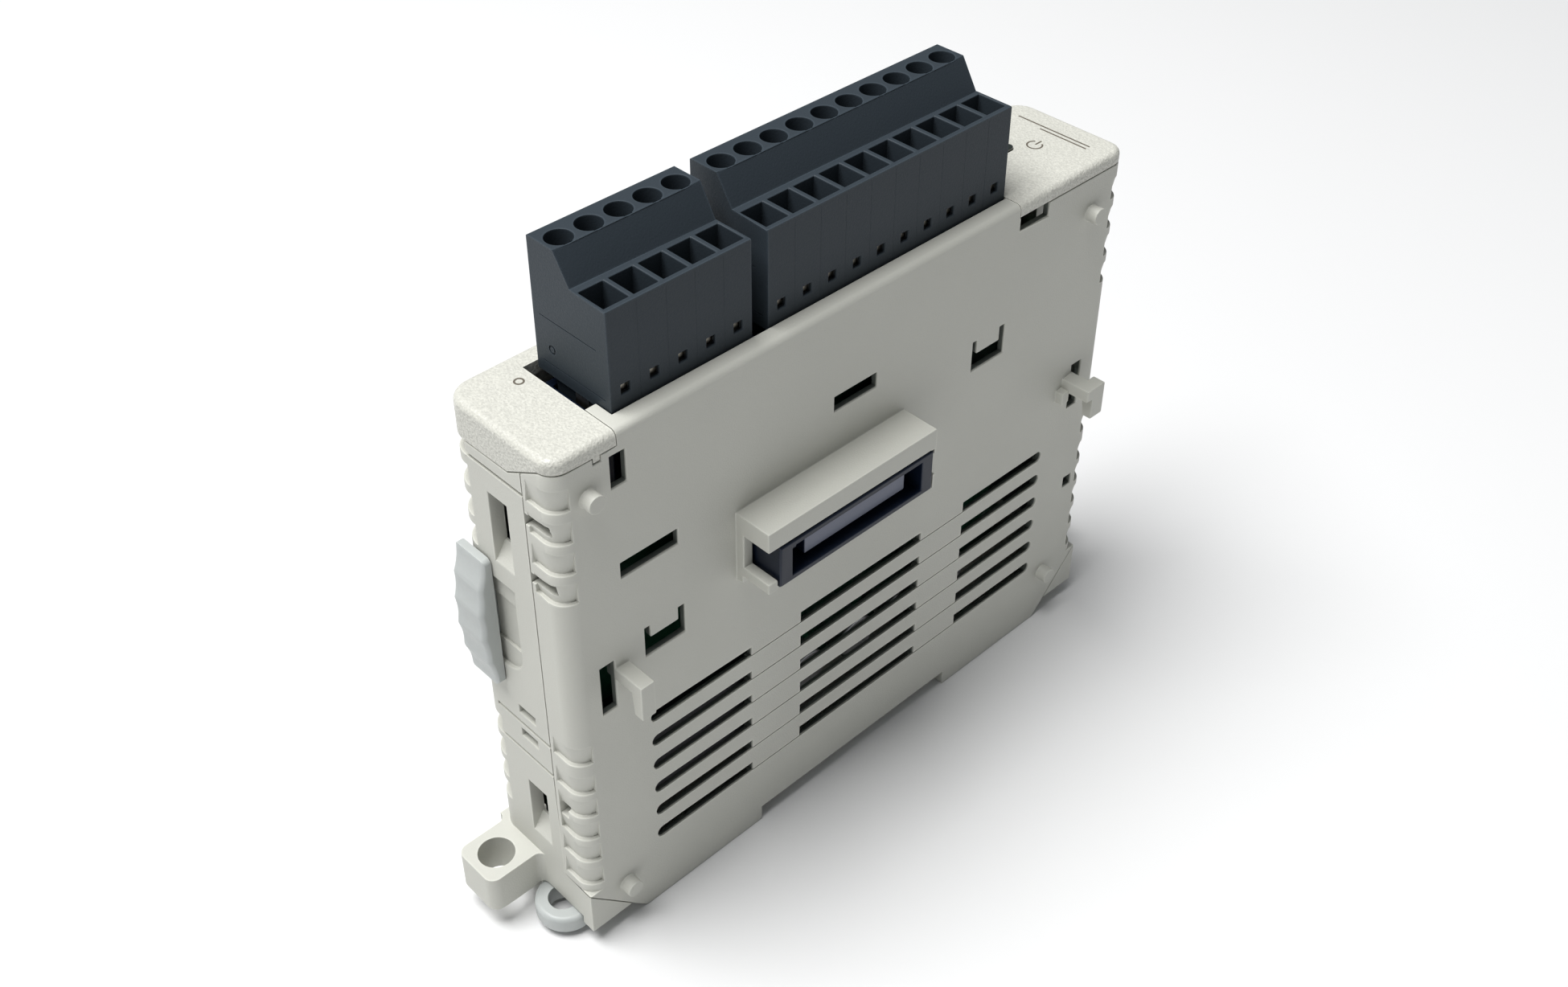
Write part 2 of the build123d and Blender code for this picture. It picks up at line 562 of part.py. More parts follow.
# ================================================================ plug-in terminal blocks
for name in block_poles:
    span, tenon_span = block_span(name), block_span(name, tenon_inset)
    poles = pole_places(name)
    with BuildPart() as plug:
        profile = [
            (plug_y[1], plug_bottom), (plug_y[1], plug_top), (step_y, plug_top), (slope_foot_y, step_top),
            (plug_y[0], step_top), (plug_y[0], plug_bottom),
        ]
        prism(Plane.YZ.offset(span[0]), profile, span[1] - span[0])
        rims = plug.faces().filter_by(Axis.Z).group_by(Axis.Z)[-1].edges().filter_by(Axis.X)
        fillet(rims, 0.2)
        block(tenon_span, tenon_y, (tenon_bottom, plug_bottom + 0.1))
        # wire cell, clamp space, foot space, contact shaft, inspection window low on the face
        blocks_at(poles, cell_half, cell_y, (cell_floor, step_top + 1), Mode.SUBTRACT)
        blocks_at(poles, cell_half, (cell_y[0], 0.95), (cell_floor, 82.5), Mode.SUBTRACT)
        blocks_at(poles, cell_half, (0.9, 4.4), (cell_floor, 76.4), Mode.SUBTRACT)
        blocks_at(poles, 1.1, (cell_y[0], 0.8), (73.4, cell_floor + 0.1), Mode.SUBTRACT)
        blocks_at(poles, 1.1, (-1.4, 0.8), (tenon_bottom - 1, cell_floor), Mode.SUBTRACT)
        blocks_at(poles, 0.6, (plug_y[0] - 1, cell_y[0] + 0.1), (75.5, 76.7), Mode.SUBTRACT)
        for bore, low, high in ((screw_bore, screw_seat, plug_top + 1), (1.05, 76.0, screw_seat + 0.1)):
            with BuildSketch(Plane.XY.offset(low)):
                with Locations(*[(x, screw_y) for x in poles]):
                    Circle(bore)
            extrude(amount=high - low, mode=Mode.SUBTRACT)
        # faint witness lines between the poles
        with Locations(*[(x + pitch / 2, plug_y[0], (plug_bottom + step_top) / 2) for x in poles[:-1]]):
            Box(0.07, 0.1, step_top - plug_bottom - 0.8, mode=Mode.SUBTRACT)
        # gate mark and mould lines on the end faces
        for end_x, outwards in ((span[0], -1), (span[1], 1)):
            with BuildSketch(Plane.YZ.offset(end_x)):
                with Locations((2.9, 77.0)):
                    Circle(0.55)
                    Circle(0.32, mode=Mode.SUBTRACT)
            extrude(amount=-0.12 * outwards, mode=Mode.SUBTRACT)
            mark = (end_x - 0.1, end_x + 0.1)
            block(mark, (-4.4, 4.6), (80.6, 80.7), Mode.SUBTRACT)
            block(mark, (-5.4, 4.6), (75.0, 75.1), Mode.SUBTRACT)
    save(plug, f"terminal_plug_{name}")

    with BuildPart() as contacts:
        blocks_at(poles, 1.1, (cell_y[0], cell_y[0] + 0.4), (73.45, 83.5))
        blocks_at(poles, 1.1, (cell_y[0] + 0.3, 0.8), (73.45, 73.85))
        blocks_at(poles, 1.1, (-1.4, 0.8), (66.0, 73.5))
        blocks_at(poles, 0.62, (pin_y - 0.62, pin_y + 0.62), (65.0, 72.6), Mode.SUBTRACT)
    save(contacts, f"plug_contacts_{name}")

for number, x in enumerate(all_poles, start=1):
    with BuildPart() as screw:
        with BuildSketch(Plane.XY.offset(screw_seat + 0.05)):
            with Locations((x, screw_y)):
                Circle(screw_bore - 0.08)
        extrude(amount=2.2)
        with BuildSketch(Plane.XY.offset(76.6)):
            with Locations((x, screw_y)):
                Circle(1.0)
        extrude(amount=screw_seat + 0.1 - 76.6)
        block((x - 2, x + 2), (screw_y - 0.3, screw_y + 0.3), (screw_seat + 1.25, screw_seat + 3),
              Mode.SUBTRACT)
    save(screw, f"terminal_screw_{number:02d}")

    with BuildPart() as clamp:
        block((x - 1.4, x + 1.4), (-1.7, 0.7), (74.6, 82.2))
        block((x - 1.4, x + 1.4), (0.6, 4.1), (74.6, 76.0))
        # teeth that bite the wire
        for z in (77.0, 78.6, 80.2):
            tooth_gap = [(-1.75, z), (-1.3, z + 0.5), (-1.75, z + 1.0)]
            prism(Plane.YZ.offset(x - 1.4), tooth_gap, 2.8, Mode.SUBTRACT)
    save(clamp, f"wire_clamp_{number:02d}")
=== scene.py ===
# %% [markdown]
# A slim control module in Blender.
# The object is a light grey plastic housing, 17.6 mm thin, that clips onto a rail inside a control cabinet.
# Two blue-black screw terminal blocks plug into its front, and a connector on its side joins it to the next
# module. The working model fixes where every piece is and how it moves. This script gives each piece the
# rounded edges, the fine details and the finish that the real moulding has.

# %% Load the working model
import json
import math

import bmesh
import bpy
from mathutils import Matrix, Vector
from mathutils.bvhtree import BVHTree
from mathutils.kdtree import KDTree


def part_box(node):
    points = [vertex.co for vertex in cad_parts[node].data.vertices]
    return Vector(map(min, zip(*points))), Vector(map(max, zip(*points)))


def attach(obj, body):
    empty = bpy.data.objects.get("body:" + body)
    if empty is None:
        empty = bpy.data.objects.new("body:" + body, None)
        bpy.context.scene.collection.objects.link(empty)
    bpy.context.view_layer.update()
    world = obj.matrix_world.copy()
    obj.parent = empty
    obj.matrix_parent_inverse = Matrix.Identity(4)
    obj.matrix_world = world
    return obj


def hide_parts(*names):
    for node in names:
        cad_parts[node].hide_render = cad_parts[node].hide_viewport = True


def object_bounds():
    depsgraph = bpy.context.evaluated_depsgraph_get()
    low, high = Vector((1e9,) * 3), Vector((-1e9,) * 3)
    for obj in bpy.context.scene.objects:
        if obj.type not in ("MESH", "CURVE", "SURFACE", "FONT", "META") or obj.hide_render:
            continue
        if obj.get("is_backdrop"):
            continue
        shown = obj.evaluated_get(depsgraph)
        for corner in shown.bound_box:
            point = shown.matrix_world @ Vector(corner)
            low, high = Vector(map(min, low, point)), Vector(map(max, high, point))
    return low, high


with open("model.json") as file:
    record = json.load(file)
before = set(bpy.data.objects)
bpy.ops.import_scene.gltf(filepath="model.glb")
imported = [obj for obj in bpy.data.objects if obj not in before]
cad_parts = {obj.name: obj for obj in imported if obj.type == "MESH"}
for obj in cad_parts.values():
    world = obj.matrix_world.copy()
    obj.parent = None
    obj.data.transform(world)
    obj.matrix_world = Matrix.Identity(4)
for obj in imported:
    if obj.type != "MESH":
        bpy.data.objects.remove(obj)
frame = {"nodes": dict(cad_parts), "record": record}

cad_low, cad_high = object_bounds()
MM = 0.001
record = frame["record"]
body_of_node = {node: body for body, nodes in record["behaviour"]["bodies"].items() for node in nodes}
slot_of_node = {part["node"]: part["material_slot"] for part in record["subparts"]}
print("the model is", [round((high - low) / MM, 1) for low, high in zip(cad_low, cad_high)], "mm")

# %% [markdown]
# The camera comes first, because every other choice is judged through it.
# It looks down on the side panel from the front left, from about a hand's length away, so the edges converge
# clearly. A short lens from close by gives the same framing as a long lens from far off, but not the same
# perspective: the distance is what decides how much the far end shrinks.

# %% Camera
camera_data = bpy.data.cameras.new("camera")
camera_data.lens = 40.89
camera_data.shift_x, camera_data.shift_y = 0.03, -0.06
camera_data.clip_start, camera_data.clip_end = 0.01, 20
camera = bpy.data.objects.new("camera", camera_data)
bpy.context.scene.collection.objects.link(camera)
bpy.context.scene.camera = camera

azimuth, elevation, roll = [math.radians(degrees) for degrees in (-42.324, 37.138, -0.931)]
viewpoint = Vector((-120.22, -118.36, 181.70)) * MM
backwards = Vector((math.sin(azimuth) * math.cos(elevation), -math.cos(azimuth) * math.cos(elevation),
                    math.sin(elevation)))
sideways = Vector((0, 0, 1)).cross(backwards).normalized()
upwards = backwards.cross(sideways)
unrolled = Matrix((sideways, upwards, backwards)).transposed()
camera.matrix_world = (Matrix.Translation(viewpoint)
                       @ (unrolled @ Matrix.Rotation(roll, 3, "Z")).to_4x4())
print("the camera stands", round(camera.location.length / MM), "mm from the rail slot")

# %% [markdown]
# The studio is a white floor under a large soft box.
# A light-coloured object on white needs its sides a little darker than its top, or its shape washes out. One
# wide lamp overhead does that, and the floor throws a soft second light back up under the vents. A weak lamp
# beyond the lower end lifts the ribs and the slide lock there. The world is dim where it lights the object,
# so that the black plastic keeps its depth, and white where it is seen.

# %% Floor, lamps and world
scene = bpy.context.scene
scene.view_settings.view_transform = "Standard"
scene.view_settings.look = "None"


def node_of(tree, kind, place=(0, 0), **values):
    """A new shader or geometry node, with its settings and the values of its named inputs."""
    node = tree.nodes.new(kind)
    node.location = place
    for name, value in values.items():
        if hasattr(node, name):
            setattr(node, name, value)
        else:
            node.inputs[name.replace("_", " ")].default_value = value
    return node


def set_input(tree, socket, value):
    """Give an input socket a value. The value can also be another socket, which is then linked to it."""
    if isinstance(value, bpy.types.NodeSocket):
        tree.links.new(value, socket)
    else:
        socket.default_value = value


def new_material(name):
    """A material with nodes, followed by its node tree and its surface shader."""
    material = bpy.data.materials.new(name)
    material.use_nodes = True
    return material, material.node_tree, material.node_tree.nodes["Principled BSDF"]


floor_half = 3.0
floor_mesh = bpy.data.meshes.new("floor")
floor_mesh.from_pydata([(x * floor_half, y * floor_half, cad_low.z) for x, y in
                        ((-1, -1), (1, -1), (1, 1), (-1, 1))], [], [(0, 1, 2, 3)])
floor = bpy.data.objects.new("floor", floor_mesh)
scene.collection.objects.link(floor)
floor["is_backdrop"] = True
floor_paint, _, floor_surface = new_material("floor_paint")
floor_surface.inputs["Base Color"].default_value = (0.80, 0.80, 0.80, 1)
floor_surface.inputs["Roughness"].default_value = 0.9
floor_mesh.materials.append(floor_paint)


def soft_box(name, place, target, size, power):
    """A square area lamp that faces a target, all in metres and watts."""
    lamp = bpy.data.lights.new(name, "AREA")
    lamp.shape, lamp.size, lamp.energy = "SQUARE", size, power
    lamp_object = bpy.data.objects.new(name, lamp)
    lamp_object.location = place
    lamp_object.rotation_euler = (Vector(target) - Vector(place)).to_track_quat("-Z", "Y").to_euler()
    scene.collection.objects.link(lamp_object)


middle = (cad_low + cad_high) / 2
soft_box("overhead", (-0.27, 0.15, 0.94), middle, 0.6, 13.5)
soft_box("end_light", (-0.95, -0.10, 0.45), middle, 0.4, 0.35)

world = bpy.data.worlds.new("studio")
scene.world = world
world.use_nodes = True
sky = world.node_tree
sky.nodes.clear()
seen = node_of(sky, "ShaderNodeBackground", (0, 100), Color=(1, 1, 1, 1), Strength=1.0)
lighting = node_of(sky, "ShaderNodeBackground", (0, -100), Color=(0.93, 0.97, 1.0, 1), Strength=0.17)
path = node_of(sky, "ShaderNodeLightPath", (-200, 300))
either = node_of(sky, "ShaderNodeMixShader", (200, 0))
world_output = node_of(sky, "ShaderNodeOutputWorld", (400, 0))
sky.links.new(path.outputs["Is Camera Ray"], either.inputs[0])
sky.links.new(lighting.outputs[0], either.inputs[1])
sky.links.new(seen.outputs[0], either.inputs[2])
sky.links.new(either.outputs[0], world_output.inputs[0])
print("two lamps and a white floor", round(2 * floor_half, 1), "m wide")

# %% [markdown]
# Shader node groups hold the effects that several finishes share.
# Moulded plastic copies the steel it was shaped in, and that steel is spark-eroded to a fine, even grain. The
# group below gives the grain's height and a speckle that follows it. Each material then sets its own size and
# depth, so the end cap can be coarse and sparkling while the side panel stays almost smooth.


# %% A helper for shader groups
def shader_group(name, inputs, outputs):
    """An empty shader group with its sockets: (name, kind, default) for inputs, (name, kind) for outputs."""
    group = bpy.data.node_groups.new(name, "ShaderNodeTree")
    for socket_name, kind, default in inputs:
        socket = group.interface.new_socket(socket_name, in_out="INPUT", socket_type=kind)
        if default is not None:
            socket.default_value = default
    for socket_name, kind in outputs:
        group.interface.new_socket(socket_name, in_out="OUTPUT", socket_type=kind)
    return group, group.nodes.new("NodeGroupInput"), group.nodes.new("NodeGroupOutput")


FLOAT, INTEGER, VECTOR = "NodeSocketFloat", "NodeSocketInt", "NodeSocketVector"

# %% The grain of a spark-eroded mould
mould_grain, given, put_out = shader_group(
    "mould_grain", [("Position", VECTOR, None), ("Grains per metre", FLOAT, 3000.0)],
    [("Height", FLOAT), ("Speckle", FLOAT), ("Flow", FLOAT)])
fine = node_of(mould_grain, "ShaderNodeTexNoise", (0, 200), Detail=2.0, Roughness=0.6)
pits = node_of(mould_grain, "ShaderNodeTexVoronoi", (0, -50), feature="SMOOTH_F1", Smoothness=0.6)
flow = node_of(mould_grain, "ShaderNodeTexNoise", (0, -300), Scale=45.0, Detail=3.0)
blend_height = node_of(mould_grain, "ShaderNodeMix", (200, 100), Factor=0.45)
speckle = node_of(mould_grain, "ShaderNodeMapRange", (200, -100), From_Min=0.38, From_Max=0.66)
for texture in (fine, pits):
    mould_grain.links.new(given.outputs["Position"], texture.inputs["Vector"])
    mould_grain.links.new(given.outputs["Grains per metre"], texture.inputs["Scale"])
mould_grain.links.new(given.outputs["Position"], flow.inputs["Vector"])
mould_grain.links.new(fine.outputs[0], blend_height.inputs[2])
mould_grain.links.new(pits.outputs["Distance"], blend_height.inputs[3])
mould_grain.links.new(fine.outputs[0], speckle.inputs["Value"])
mould_grain.links.new(blend_height.outputs[0], put_out.inputs["Height"])
mould_grain.links.new(speckle.outputs[0], put_out.inputs["Speckle"])
mould_grain.links.new(flow.outputs[0], put_out.inputs["Flow"])
print("mould_grain has", len(mould_grain.nodes), "nodes")

# %% [markdown]
# Two masks let a plastic's colour carry painted light and shade: a painted highlight along its edges, and
# painted shade in its crevices. Both can be found from the shape alone. A bevel node gives the normal that a
# rounded edge would have, and it differs from the true normal only beside an edge. Ambient occlusion is dark
# only in crevices. The group turns both into masks from 0 to 1.

# %% Masks for painted highlights on edges and painted shade in crevices
handling, given, put_out = shader_group(
    "handling", [("Edge width", FLOAT, 0.0004), ("Crevice reach", FLOAT, 0.0015)],
    [("Edge", FLOAT), ("Crevice", FLOAT)])
# The edge mask places a painted highlight, and the crevice mask from ambient occlusion places painted shade.
rounded_normal = node_of(handling, "ShaderNodeBevel", (0, 200), samples=4)
true_normal = node_of(handling, "ShaderNodeNewGeometry", (0, 0))
likeness = node_of(handling, "ShaderNodeVectorMath", (200, 150), operation="DOT_PRODUCT")
edge_highlight_mask = node_of(handling, "ShaderNodeMapRange", (400, 150), From_Min=0.985, From_Max=0.80)
occlusion = node_of(handling, "ShaderNodeAmbientOcclusion", (0, -200), samples=6)
crevice_shade_mask = node_of(handling, "ShaderNodeMapRange", (400, -200), From_Min=0.75, From_Max=0.15)
handling.links.new(given.outputs["Edge width"], rounded_normal.inputs["Radius"])
handling.links.new(rounded_normal.outputs[0], likeness.inputs[0])
handling.links.new(true_normal.outputs["Normal"], likeness.inputs[1])
handling.links.new(likeness.outputs["Value"], edge_highlight_mask.inputs["Value"])
handling.links.new(given.outputs["Crevice reach"], occlusion.inputs["Distance"])
handling.links.new(occlusion.outputs["AO"], crevice_shade_mask.inputs["Value"])
handling.links.new(edge_highlight_mask.outputs[0], put_out.inputs["Edge"])
handling.links.new(crevice_shade_mask.outputs[0], put_out.inputs["Crevice"])
print("handling has", len(handling.nodes), "nodes")


# %% [markdown]
# One function makes every moulded plastic on the object.
# The finishes differ only in colour, gloss, grain size and how strongly edges get a painted highlight and
# crevices a painted shade, so these are its arguments. The grain feeds the roughness as well as the bump,
# because the tiny valleys scatter light while the crests stay smooth: that is what makes the end cap glitter.
# The grain's speckle also lightens and darkens the colour in fine spots, as painted glints.


# %% Moulded plastic
def maths(tree, first, second, operation="MULTIPLY"):
    """The result of a maths node. first and second are sockets or numbers."""
    node = node_of(tree, "ShaderNodeMath", operation=operation)
    set_input(tree, node.inputs[0], first)
    set_input(tree, node.inputs[1], second)
    return node.outputs[0]


def mix_colour(tree, factor, first, second, blend="MIX"):
    """The result of a colour mix. factor, first and second are sockets or plain values."""
    mix = tree.nodes.new("ShaderNodeMix")
    mix.data_type, mix.blend_type = "RGBA", blend
    for index, value in ((0, factor), (6, first), (7, second)):
        set_input(tree, mix.inputs[index], value)
    return mix.outputs[2]


def map_range(tree, value, low, high, start=0.0, end=1.0):
    """A linear map of a socket from start..end to low..high."""
    ranged = node_of(tree, "ShaderNodeMapRange", From_Min=start, From_Max=end, To_Min=low, To_Max=high)
    tree.links.new(value, ranged.inputs["Value"])
    return ranged.outputs[0]


def inside_box(tree, position, low, high, soft=0.05 * MM):
    """A mask that is 1 inside a box, given by its two corners in metres, and 0 outside."""
    apart = node_of(tree, "ShaderNodeSeparateXYZ")
    tree.links.new(position, apart.inputs[0])
    mask = None
    for axis in range(3):
        for limit, side in ((low[axis], 1), (high[axis], -1)):
            step = map_range(tree, apart.outputs[axis], 0.0, 1.0, limit - side * soft, limit + side * soft)
            mask = step if mask is None else maths(tree, mask, step)
    return mask


def moulded(name, colour, roughness, grains, depth, sparkle=0.0, edge=1.12, crevice=0.72, specular=0.5,
            subsurface=0.0, scatter=(1, 1, 1), patch=None):
    """A moulded plastic: linear colour, roughness, grains per metre and grain depth in metres.

    edge multiplies the colour along edges as a painted highlight, and crevice multiplies it in crevices as
    painted shade. patch is (low corner, high corner, colour): a box in which the colour is replaced, as
    painted shade inside the housing and as the tongue's own greyer plastic on the connector.
    """
    material, tree, surface = new_material(name)
    place = node_of(tree, "ShaderNodeTexCoord", (-900, 0))
    grain = node_of(tree, "ShaderNodeGroup", (-700, 0), node_tree=mould_grain)
    grain.inputs["Grains per metre"].default_value = grains
    tree.links.new(place.outputs["Object"], grain.inputs["Position"])
    painted_light_masks = node_of(tree, "ShaderNodeGroup", (-700, -300), node_tree=handling)
    darker = [c * 0.93 for c in colour] + [1]
    lighter = [min(1, c * 1.05) for c in colour] + [1]
    base = mix_colour(tree, grain.outputs["Flow"], darker, lighter)
    # The speckle lightens and darkens the colour in fine spots as painted glints, beside the real change of
    # gloss in the roughness below.
    painted_glint = map_range(tree, grain.outputs["Speckle"], 1 - 0.5 * sparkle, 1 + 0.5 * sparkle)
    base = mix_colour(tree, 1.0, base, painted_glint, "MULTIPLY")
    # Painted highlight along the edges, then painted shade in the crevices.
    base = mix_colour(tree, painted_light_masks.outputs["Edge"], base, [min(1, c * edge) for c in colour] + [1])
    base = mix_colour(tree, painted_light_masks.outputs["Crevice"], base, [c * crevice for c in colour] + [1])
    if patch:
        within = inside_box(tree, place.outputs["Object"], patch[0], patch[1])
        base = mix_colour(tree, within, base, list(patch[2]) + [1])
    tree.links.new(base, surface.inputs["Base Color"])
    rough = map_range(tree, grain.outputs["Speckle"], min(1, roughness + 0.5 * sparkle + 0.04),
                      max(0.05, roughness - 0.5 * sparkle - 0.04))
    tree.links.new(rough, surface.inputs["Roughness"])
    bump = node_of(tree, "ShaderNodeBump", (-200, -300), Strength=1.0, Distance=depth)
    tree.links.new(grain.outputs["Height"], bump.inputs["Height"])
    tree.links.new(bump.outputs[0], surface.inputs["Normal"])
    surface.inputs["Specular IOR Level"].default_value = specular
    surface.inputs["Subsurface Weight"].default_value = subsurface
    surface.inputs["Subsurface Radius"].default_value = scatter
    surface.inputs["Subsurface Scale"].default_value = 0.002
    return material


cap_low, cap_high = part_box("front_cover")
board_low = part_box("main_board")[0]
# The walls inside the case lie in this box, and so do the sides of every opening. There the grey is replaced
# by a painted shade, a dark green-grey that stands in for the shade inside the case.
inside_low = Vector((board_low.x - 0.3 * MM, cap_low.y + 0.25 * MM, 4.5 * MM))
inside_high = Vector((-inside_low.x, 7.1 * MM, 72.2 * MM))
inside_painted_shade = (0.150, 0.165, 0.148)
# The flat tongue in the middle of the expansion plug is a greyer plastic than the shell round it.
tongue_low = Vector((-14.45, -13.3, 47.0)) * MM
tongue_high = Vector((1.85, -12.9, 49.4)) * MM
tongue_colour = (0.165, 0.180, 0.235)

finish = {}
# The housing's patch is the painted shade inside the case.
finish["housing"] = moulded("housing_grey", (0.545, 0.545, 0.495), 0.55, 5200, 0.00003, edge=1.2,
                            crevice=0.9, patch=(inside_low, inside_high, inside_painted_shade))
finish["cover"] = moulded("cover_grey", (0.590, 0.586, 0.530), 0.46, 3400, 0.00012, sparkle=0.22,
                          crevice=0.9)
finish["slider"] = moulded("natural_nylon", (0.440, 0.462, 0.452), 0.40, 1500, 0.00003, edge=1.08,
                           crevice=0.85, subsurface=0.2, scatter=(1.0, 1.05, 1.1))
finish["terminal"] = moulded("terminal_blue_black", (0.0310, 0.0410, 0.0510), 0.50, 4200, 0.00002, edge=1.6,
                             crevice=0.5, specular=0.22)
finish["connector"] = moulded("connector_black", (0.005, 0.010, 0.024), 0.36, 6000, 0.000005, edge=2.0,
                              crevice=0.7, specular=0.3, patch=(tongue_low, tongue_high, tongue_colour))
finish["chip"] = moulded("chip_epoxy", (0.018, 0.018, 0.020), 0.5, 5200, 0.00003, edge=1.6)
finish["board"] = moulded("solder_mask", (0.010, 0.075, 0.038), 0.32, 900, 0.00002, edge=1.3)
printed_ink = moulded("printed_ink", (0.115, 0.098, 0.075), 0.6, 5200, 0.00001)
print("plastics:", ", ".join(sorted(finish)))

# %% [markdown]
# The metals are thin platings over stamped or turned stock.
# A turned screw head shows rings about its own axis and a stamped clamp shows streaks, and both come from
# stretching noise in one direction. The stretch is put into a Mapping node, so one function serves both.


# %% Plated metal
def plated(name, colour, roughness, stretch):
    """A plated metal with fine marks: stretch is how many marks per metre there are along x, y and z."""
    material, tree, surface = new_material(name)
    place = node_of(tree, "ShaderNodeTexCoord", (-900, 0))
    mapping = node_of(tree, "ShaderNodeMapping", (-700, 0), Scale=stretch)
    marks = node_of(tree, "ShaderNodeTexNoise", (-500, 0), Scale=1.0, Detail=3.0)
    stain = node_of(tree, "ShaderNodeTexNoise", (-500, -250), Scale=260.0, Detail=2.0)
    tree.links.new(place.outputs["Object"], mapping.inputs["Vector"])
    tree.links.new(mapping.outputs[0], marks.inputs["Vector"])
    tree.links.new(place.outputs["Object"], stain.inputs["Vector"])
    base = mix_colour(tree, map_range(tree, stain.outputs[0], 0, 1, 0.35, 0.7),
                      [c * 0.8 for c in colour] + [1], list(colour) + [1])
    tree.links.new(base, surface.inputs["Base Color"])
    tree.links.new(map_range(tree, marks.outputs[0], roughness - 0.08, roughness + 0.12),
                   surface.inputs["Roughness"])
    bump = node_of(tree, "ShaderNodeBump", (-200, -300), Strength=0.5, Distance=0.00001)
    tree.links.new(marks.outputs[0], bump.inputs["Height"])
    tree.links.new(bump.outputs[0], surface.inputs["Normal"])
    surface.inputs["Metallic"].default_value = 1.0
    return material


finish["steel"] = plated("zinc_plated_steel", (0.62, 0.60, 0.56), 0.32, (9000, 9000, 900))
finish["clamp"] = plated("nickel_plated_clamp", (0.34, 0.34, 0.34), 0.34, (600, 9000, 9000))
finish["contact"] = plated("tinned_contact", (0.50, 0.47, 0.40), 0.32, (4000, 4000, 700))
finish["capacitor"] = plated("capacitor_can", (0.60, 0.60, 0.61), 0.30, (3000, 900, 3000))
print("metals: steel, clamp, contact, capacitor")

# %% [markdown]
# The status light is a stick of clear plastic that carries the glow of a small lamp on the board up to the
# front. Unlit it looks dark, because the space behind it is dark, and that shade is painted into its colour:
# a near-black base under a clear coat.

# %% Light guide
light_guide, guide_tree, guide_surface = new_material("light_guide")
guide_place = node_of(guide_tree, "ShaderNodeTexCoord", (-700, 0))
guide_noise = node_of(guide_tree, "ShaderNodeTexNoise", (-500, 0), Scale=900.0, Detail=2.0)
guide_tree.links.new(guide_place.outputs["Object"], guide_noise.inputs["Vector"])
# A painted shade: the dark of the space behind the clear plastic, varied a little by noise.
guide_painted_shade = mix_colour(guide_tree, guide_noise.outputs[0],
                          (0.010, 0.014, 0.012, 1), (0.022, 0.030, 0.026, 1))
guide_gloss = map_range(guide_tree, guide_noise.outputs[0], 0.08, 0.2)
guide_tree.links.new(guide_painted_shade, guide_surface.inputs["Base Color"])
guide_tree.links.new(guide_gloss, guide_surface.inputs["Roughness"])
guide_surface.inputs["Coat Weight"].default_value = 0.5
finish["lens"] = light_guide

# %% [markdown]
# Every node of the working model gets the finish of its slot. The pieces that show from outside are then
# replaced by copies with rounded edges, and the hidden ones stay as they are.

# %% Finish every node
for node_name, node_object in frame["nodes"].items():
    node_object.data.materials.clear()
    node_object.data.materials.append(finish[slot_of_node[node_name]])
print(len(frame["nodes"]), "nodes finished")

# %% [markdown]
# No moulding has a truly sharp edge.
# A radius of a tenth or two of a millimetre is what draws the thin bright line along every ledge. The Bevel
# modifier makes one width for the whole mesh and stops at the smallest feature, so this copy is bevelled with
# bmesh instead. Edges beside a face too narrow to hold the round are left alone. Where a round still shoots
# out of the old surface, its edges are dropped and the bevel is made again from the start.


# %% Rounded copies
hard_angle = math.radians(30)
repair_rounds = 8
# In radii: points this far in from an edge are on its own face and too close to it, so the edge stays sharp.
crowd_near, crowd_far = 0.05, 2.3
stray_limit = 0.5


def hard_edges(mesh, radius, avoid):
    """Hard edges whose two faces are wide enough for the radius, and that touch no point in avoid."""
    found = []
    for edge in mesh.edges:
        if len(edge.link_faces) != 2 or edge.calc_face_angle(0) < hard_angle:
            continue
        if any(vertex.index in avoid for vertex in edge.verts):
            continue
        crowding = []
        for loop in edge.link_loops:
            start, stop = loop.vert.co, loop.link_loop_next.vert.co
            along = (stop - start).normalized()
            inwards = loop.face.normal.cross(along)
            for vertex in loop.face.verts:
                offset = vertex.co - start
                beside = -radius < offset.dot(along) < (stop - start).length + radius
                if beside and crowd_near * radius < offset.dot(inwards) < crowd_far * radius:
                    crowding.append(vertex.index)
        if crowding:
            avoid.update(crowding)
        else:
            found.append(edge)
    return [edge for edge in found if not any(vertex.index in avoid for vertex in edge.verts)]


def welded(node):
    """The node's triangles joined into whole flat faces."""
    mesh = bmesh.new()
    mesh.from_mesh(frame["nodes"][node].data)
    bmesh.ops.remove_doubles(mesh, verts=mesh.verts, dist=1e-6)
    bmesh.ops.dissolve_limit(mesh, angle_limit=math.radians(0.5), verts=mesh.verts, edges=mesh.edges)
    mesh.verts.index_update()
    mesh.verts.ensure_lookup_table()
    return mesh


